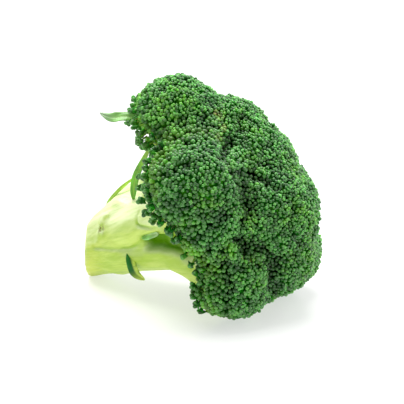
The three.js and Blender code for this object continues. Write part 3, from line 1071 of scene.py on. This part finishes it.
def makeStalkMaterial():
    settings = stalkSettings
    material, tree, shader = newMaterial("stalk skin")
    place = addNode(tree, "ShaderNodeTexCoord").outputs["Object"]
    away = addNode(tree, "ShaderNodeVectorMath", operation="SUBTRACT")
    away.inputs[1].default_value = [value * mm for value in settings["fibreSource"]]
    tree.links.new(place, away.inputs[0])
    direction = addNode(tree, "ShaderNodeVectorMath", operation="NORMALIZE")
    tree.links.new(away.outputs[0], direction.inputs[0])
    length = addNode(tree, "ShaderNodeVectorMath", operation="LENGTH")
    tree.links.new(away.outputs[0], length.inputs[0])
    along = addNode(tree, "ShaderNodeCombineXYZ")
    tree.links.new(mathNode(tree, "MULTIPLY", length.outputs["Value"], 1.2), along.inputs["X"])
    streak = addNode(tree, "ShaderNodeVectorMath", operation="ADD")
    tree.links.new(direction.outputs[0], streak.inputs[0])
    tree.links.new(along.outputs[0], streak.inputs[1])
    fine = objectNoise(tree, 60, 4, 0.6, streak.outputs[0])
    broad = objectNoise(tree, 14, 3, 0.5, streak.outputs[0])
    blotch = objectNoise(tree, 55, 3)
    broad = mathNode(tree, "MULTIPLY", broad, 0.55)
    tone = mathNode(tree, "ADD", broad, mathNode(tree, "MULTIPLY", fine, 0.45))
    streaks = rangeNode(tree, tone, 0.38, 0.62)
    colour = mixColour(tree, streaks, fromSrgb(*settings["fresh"]), fromSrgb(*settings["streak"]))
    # painted highlight, with the waxy bloom: paler where the skin faces the light
    thinner = rangeNode(tree, tone, 0.34, 0.60, 0.55, 1.0)
    waxy = mathNode(tree, "MULTIPLY", readAttribute(tree, "waxy"), thinner)
    colour = mixColour(tree, waxy, colour, fromSrgb(*settings["waxy"]))
    # painted shade on the side away from the camera
    thinner = rangeNode(tree, tone, 0.36, 0.60, 0.95, 0.65)
    farShadeMask = mathNode(tree, "MULTIPLY", readAttribute(tree, "farSide"), thinner)
    colour = mixColour(tree, farShadeMask, colour, fromSrgb(*settings["farSide"]))
    # painted shade: deep green in the hollows, dents and next to the table
    thinner = rangeNode(tree, blotch, 0.3, 0.6, 0.75, 1.0)
    hollow = mathNode(tree, "MULTIPLY", readAttribute(tree, "hollow"), thinner)
    colour = mixColour(tree, hollow, colour, fromSrgb(*settings["deep"]))
    colour = mixColour(tree, readAttribute(tree, "butt"), colour, fromSrgb(*settings["butt"]))
    # on the cut, a pale pith, a ring of green fibres and paler flesh out to the skin
    ripple = mathNode(tree, "MULTIPLY", objectNoise(tree, 160, 3), 0.22)
    pith = ramp(tree, mathNode(tree, "ADD", readAttribute(tree, "fromPith"), ripple), [
        (0.0, fromSrgb(*settings["pith"])),
        (0.62, fromSrgb(*settings["pith"])),
        (0.76, fromSrgb(*settings["ring"])),
        (0.86, fromSrgb(*settings["cut"])),
    ])
    colour = mixColour(tree, readAttribute(tree, "cut"), colour, pith)
    speck = rangeNode(tree, objectNoise(tree, 520, 2), 0.44, 0.56)
    scar = mathNode(tree, "MULTIPLY", readAttribute(tree, "scar"), speck)
    colour = mixColour(tree, scar, colour, fromSrgb(*settings["scar"]))
    tree.links.new(colour, shader.inputs["Base Color"])
    shader.inputs["Roughness"].default_value = 0.40
    tree.links.new(rangeNode(tree, hollow, 0.2, 0.9, 0.4, 0.08), shader.inputs["Specular IOR Level"])
    addBump(tree, shader, fine, 0.0007, 0.6)
    return material


def makeStalk():
    settings = stalkSettings
    piece = cadCopy("stalk", "stalk_grown")
    reskin(piece, settings["skinCell"])
    mesh = piece.data
    edges = getEdges(mesh)
    first = getPoints(mesh)
    behindCut = (first - np.array(settings["cutPoint"]) * mm) @ unit(np.array(settings["cutNormal"]))
    flat = smoothStep(behindCut, -1.6 * mm, -0.4 * mm)
    points = relax(first, edges, settings["relaxRounds"])
    points = points * (1 - flat[:, None]) + relax(first, edges, settings["cutRounds"]) * flat[:, None]
    setPoints(mesh, points)
    normals = getNormals(mesh)
    lift = np.full(len(points), settings["swell"])
    near = {}
    for name, mark in stalkMarks.items():
        near[name] = lineDistance(points, mark["line"]) / (mark["width"] * mm)
        lift += mark["rise"] * mm * np.exp(-near[name] ** 2)
    away = points - np.array(settings["fibreSource"]) * mm
    length = np.linalg.norm(away, axis=1)
    fibres = unit(away) * 26 + (length / (30 * mm))[:, None] * np.array([1.0, 0.3, 0.2])
    ridge = noiseAt(fibres, 1.0) + 0.5 * noiseAt(fibres, 2.3)
    lift += settings["fibreHeight"] * ridge
    points = points + normals * (lift * (1 - flat))[:, None]
    points[:, 2] = np.maximum(points[:, 2], 0.0)
    points = relax(points, edges, 1)
    setPoints(mesh, points)
    normals = getNormals(mesh)
    softer = relax(points, edges, settings["hollowRounds"])
    dip = -np.einsum("ij,ij->i", points - softer, normals) / (0.8 * mm)
    facing = normals @ unit(np.array(settings["lightFrom"]))
    # painted shade: deeper green in the dips, along the marks and next to the table
    green = smoothStep(dip, 0.3, 1.8) * 0.7
    for name, mark in stalkMarks.items():
        green = np.maximum(green, mark["green"] * np.exp(-near[name] ** 2 / 1.6))
    # and painted shade next to the table
    green = np.maximum(green, 0.75 * smoothStep(-points[:, 2], -4.0 * mm, -0.5 * mm))
    storeFloat(mesh, "hollow", green)
    ledge = 0.8 * np.exp(-near["ledge"] ** 2)
    # paler where facing the light: waxy bloom and painted highlight; the ledge is pale of its own
    storeFloat(mesh, "waxy", np.maximum(smoothStep(facing, 0.25, 0.90), ledge))
    # painted shade on the side away from the camera
    storeFloat(mesh, "farSide", smoothStep(-normals @ viewAxes()[0], -0.10, 0.45))
    butt = 0.7 * smoothStep(behindCut, -16 * mm, -1 * mm)
    storeFloat(mesh, "butt", butt * smoothStep(-facing, -0.6, 0.1))
    storeFloat(mesh, "cut", smoothStep(behindCut, -0.9 * mm, -0.3 * mm))
    cutMiddle = points[behindCut > -0.5 * mm].mean(axis=0)
    storeFloat(mesh, "fromPith", np.linalg.norm(points - cutMiddle, axis=1) / (20 * mm))
    storeFloat(mesh, "scar", np.exp(-near["scar dent"] ** 2 / 2))
    mesh.materials.clear()
    mesh.materials.append(makeStalkMaterial())
    mesh.polygons.foreach_set("use_smooth", [True] * len(mesh.polygons))
    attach(piece, "root")
    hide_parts("stalk")
    print("stalk", len(mesh.polygons), "faces")


# Leaves

# midrib points from the stem's own axes and half width in millimetres, where along it the blade is widest,
# the way it faces, how far its sides fold up and how much its rim waves
leafSettings = {
    "leaf_top": {
        "line": [
            (42, -20, 97), (35, -25, 101), (29, -29.5, 103.5),
            (22, -34, 103), (17, -37.5, 105.5),
        ],
        "halfWidth": 2.9,
        "widest": 0.55,
        "face": (0.2, -0.75, 0.62),
        "fold": 0.12,
        "wave": 0.28,
        "colour": "grey",
    },
    "leaf_inner": {
        "line": [
            (24.8, -19.2, 55.4), (25.4, -19.8, 61), (27.5, -20.2, 69),
            (32.5, -19.8, 79), (36.5, -18.5, 87),
        ],
        "halfWidth": 2.1,
        "widest": 0.42,
        "face": (0.25, -0.9, 0.3),
        "fold": 0.12,
        "wave": 0.08,
        "colour": "bright",
    },
    "leaf_ridge": {
        "line": [
            (-4.9, -5.5, 43.3), (-0.6, -7.6, 48.5), (6.2, -8.1, 55.3),
            (12.8, -7.8, 61.0), (18, -6.3, 64.8),
        ],
        "halfWidth": 1.25,
        "widest": 0.5,
        "face": (-0.1, -0.75, 0.55),
        "fold": 0.1,
        "wave": 0.05,
        "colour": "yellow",
    },
    "leaf_lower": {
        "line": [
            (25, -18, 28), (26.2, -25, 26), (29, -27.3, 20.8),
            (31.2, -26.8, 16.3), (35.3, -24.4, 12.8),
        ],
        "halfWidth": 2.7,
        "widest": 0.6,
        "face": (0.35, -0.9, 0.25),
        "fold": 0.08,
        "wave": 0.1,
        "colour": "two",
    },
    "leaf_bract": {
        "line": [
            (37.4, -29.8, 39.6), (42.5, -32.6, 41.4), (48, -35.4, 43.4),
            (54, -37.6, 45.2),
        ],
        "halfWidth": 2.9,
        "widest": 0.5,
        "face": (0.1, -0.85, 0.45),
        "fold": 0.15,
        "wave": 0.1,
        "colour": "bract",
    },
    "leaf_under_top": {
        "line": [
            (41, -8, 76), (38, -12, 82), (38, -16, 88),
            (38, -18, 93),
        ],
        "halfWidth": 2.6,
        "widest": 0.6,
        "face": (-0.5, -0.8, 0.1),
        "fold": 0.2,
        "wave": 0.15,
        "colour": "dark",
    },
}

leafShape = {
    "steps": 34,
    "across": 9,
    "thickness": 0.45 * mm,
    "ribGroove": 0.25,  # millimetres
    "darkFrom": -0.05,  # across a blade of two colours, from -1 to 1, where the dark side starts
}

# the blade, its midrib and its tip
leafColours = {
    "grey": ((104, 156, 72), (150, 190, 110), (150, 176, 140)),
    "bright": ((92, 158, 24), (150, 196, 50), (170, 206, 84)),
    "yellow": ((140, 184, 44), (186, 210, 92), (158, 196, 66)),
    "dark": ((10, 112, 22), (160, 200, 60), (150, 194, 60)),
    "two": ((8, 104, 18), (200, 226, 84), (200, 222, 84)),  # one side dark, the other pale
    "bract": ((112, 172, 84), (190, 220, 150), (176, 212, 140)),
}


def makeLeafMaterial(name, blade, rib, tip):
    material, tree, shader = newMaterial(name)
    streak = objectNoise(tree, 320, 3)
    patch = objectNoise(tree, 110, 2)
    paler = [min(255, int(value * 1.3) + 8) for value in blade]
    patch = rangeNode(tree, patch, 0.35, 0.65, 0.0, 0.7)
    colour = mixColour(tree, patch, fromSrgb(*blade), fromSrgb(*paler))
    worn = rangeNode(tree, streak, 0.3, 0.6, 0.5, 1.0)
    ribs = mathNode(tree, "MULTIPLY", readAttribute(tree, "rib"), worn)
    colour = mixColour(tree, ribs, colour, fromSrgb(*rib))
    towardsTip = rangeNode(tree, readAttribute(tree, "along"), 0.6, 1.0)
    colour = mixColour(tree, towardsTip, colour, fromSrgb(*tip))
    tree.links.new(colour, shader.inputs["Base Color"])
    shader.inputs["Roughness"].default_value = 0.42
    addBump(tree, shader, streak, 0.0004, 0.6)
    return material


def curvePoint(line, t):
    # a smooth line through the given points
    count = len(line) - 1
    place = min(t * count, count - 1e-6)
    i = int(place)
    f = place - i
    p = [np.array(line[min(max(k, 0), count)], float) for k in (i - 1, i, i + 1, i + 2)]
    bend = 2 * p[0] - 5 * p[1] + 4 * p[2] - p[3]
    twist = 3 * p[1] - p[0] - 3 * p[2] + p[3]
    return 0.5 * (2 * p[1] + (p[2] - p[0]) * f + bend * f ** 2 + twist * f ** 3)


def bladeWidth(t, widest):
    # 0 at the tip, 1 where the blade is widest and a narrow stalk at its foot
    if t < widest:
        return 0.16 + 0.84 * math.sin(math.pi / 2 * t / widest) ** 0.8
    return max(0.03, math.cos(math.pi / 2 * (t - widest) / (1 - widest)) ** 0.75)


def ribShare(w, colour):
    # how much of the rib's colour there is across the blade, from -1 at one rim to 1 at the other
    if colour == "two":
        return min(1, max(0, (leafShape["darkFrom"] - w) * 3))
    return max(0, 1 - abs(w) * 3.2)


def makeLeaf(name):
    leaf = leafSettings[name]
    steps, across = leafShape["steps"], leafShape["across"]
    shift = np.array(frameShift)
    line = [np.array(point) - shift for point in leaf["line"]]
    face = unit(np.array(leaf["face"]))
    bm = bmesh.new()
    rib = bm.verts.layers.float.new("rib")
    along = bm.verts.layers.float.new("along")
    grid = []
    for i in range(steps + 1):
        t = i / steps
        here = curvePoint(line, t)
        tangent = unit(curvePoint(line, min(1, t + 0.02)) - curvePoint(line, max(0, t - 0.02)))
        out = unit(face - tangent * (face @ tangent))
        side = np.cross(tangent, out)
        half = leaf["halfWidth"] * bladeWidth(t, leaf["widest"])
        row = []
        for k in range(across):
            w = 2 * k / (across - 1) - 1
            wave = leaf["wave"] * math.sin(17 * t + 2.2 * w) * w * w * leaf["halfWidth"]
            cup = leaf["fold"] * abs(w) * half
            groove = -leafShape["ribGroove"] * max(0.0, 1 - abs(w) * 4)
            vert = bm.verts.new(Vector((here + side * w * half + out * (cup + wave + groove)) * mm))
            vert[rib] = ribShare(w, leaf["colour"])
            vert[along] = t
            row.append(vert)
        grid.append(row)
    for i in range(steps):
        for k in range(across - 1):
            bm.faces.new((grid[i][k], grid[i][k + 1], grid[i + 1][k + 1], grid[i + 1][k]))
    bm.normal_update()
    mesh = bpy.data.meshes.new(name + "_blade")
    bm.to_mesh(mesh)
    bm.free()
    mesh.polygons.foreach_set("use_smooth", [True] * len(mesh.polygons))
    piece = addObject(name + "_blade", mesh)
    thick = piece.modifiers.new("thickness", "SOLIDIFY")
    thick.thickness = leafShape["thickness"]
    thick.offset = 0
    applyAll(piece)
    piece.data.materials.clear()
    colour = leaf["colour"]
    piece.data.materials.append(makeLeafMaterial("leaf " + colour, *leafColours[colour]))
    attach(piece, "root")
    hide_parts(name)


# Studio

studio = {
    "distance": 700.0,
    "aim": (9.0, 1.8, 55.2),
    "lens": 115.4,
    "sky": 0.44,  # brightness of the white room
    # each light: strength, where it comes from (to the right, up, towards the camera) and degrees across
    "lights": {"key": (4.8, (-0.14, 0.96, 0.03), 50.0), "rim": (2.8, (0.85, 0.45, -0.30), 80.0)},
    "tableGlow": 0.56,  # light that comes up through the white table
    "tableWhite": 0.44,
    "tableRoughness": 0.25,
    "tableSize": 4.0,
    "tableDrop": 0.0001,  # keeps the table just below the head
}


def makeStudio():
    back, right, up = (Vector(axis) for axis in viewAxes())
    aim = Vector(studio["aim"]) * mm
    camera = bpy.data.objects.new("camera", bpy.data.cameras.new("camera"))
    bpy.context.scene.collection.objects.link(camera)
    camera.data.lens = studio["lens"]
    camera.data.sensor_width = 36
    camera.data.clip_start = 0.01
    camera.location = aim + back * studio["distance"] * mm
    camera.rotation_mode = "QUATERNION"
    camera.rotation_quaternion = (-back).to_track_quat("-Z", "Y")
    bpy.context.scene.camera = camera

    for name, (strength, (toRight, toUp, toCamera), spread) in studio["lights"].items():
        light = bpy.data.lights.new(name, "SUN")
        light.energy = strength
        light.angle = math.radians(spread)
        lamp = bpy.data.objects.new(name, light)
        bpy.context.scene.collection.objects.link(lamp)
        towards = right * toRight + up * toUp + back * toCamera
        lamp.rotation_mode = "QUATERNION"
        lamp.rotation_quaternion = (-towards).to_track_quat("-Z", "Y")

    world = bpy.data.worlds.new("white room")
    bpy.context.scene.world = world
    world.use_nodes = True
    background = world.node_tree.nodes["Background"]
    background.inputs["Color"].default_value = (1, 1, 1, 1)
    background.inputs["Strength"].default_value = studio["sky"]

    bm = bmesh.new()
    bmesh.ops.create_grid(bm, x_segments=8, y_segments=8, size=studio["tableSize"])
    mesh = bpy.data.meshes.new("floor")
    bm.to_mesh(mesh)
    bm.free()
    floor = addObject("floor", mesh)
    floor.location.z = -studio["tableDrop"]
    material, tree, shader = newMaterial("white table")
    white = studio["tableWhite"]
    shader.inputs["Base Color"].default_value = (white, white, white, 1)
    shader.inputs["Roughness"].default_value = studio["tableRoughness"]
    shader.inputs["Specular IOR Level"].default_value = 0.4
    shader.inputs["Emission Color"].default_value = (1, 1, 1, 1)
    shader.inputs["Emission Strength"].default_value = studio["tableGlow"]
    mesh.materials.append(material)
    view = bpy.context.scene.view_settings
    view.view_transform = "Standard"
    view.look = "None"
    print("studio ready")


makeFlorets()
makeStalk()
for leafName in leafSettings:
    makeLeaf(leafName)
print("leaves ready")
makeStudio()
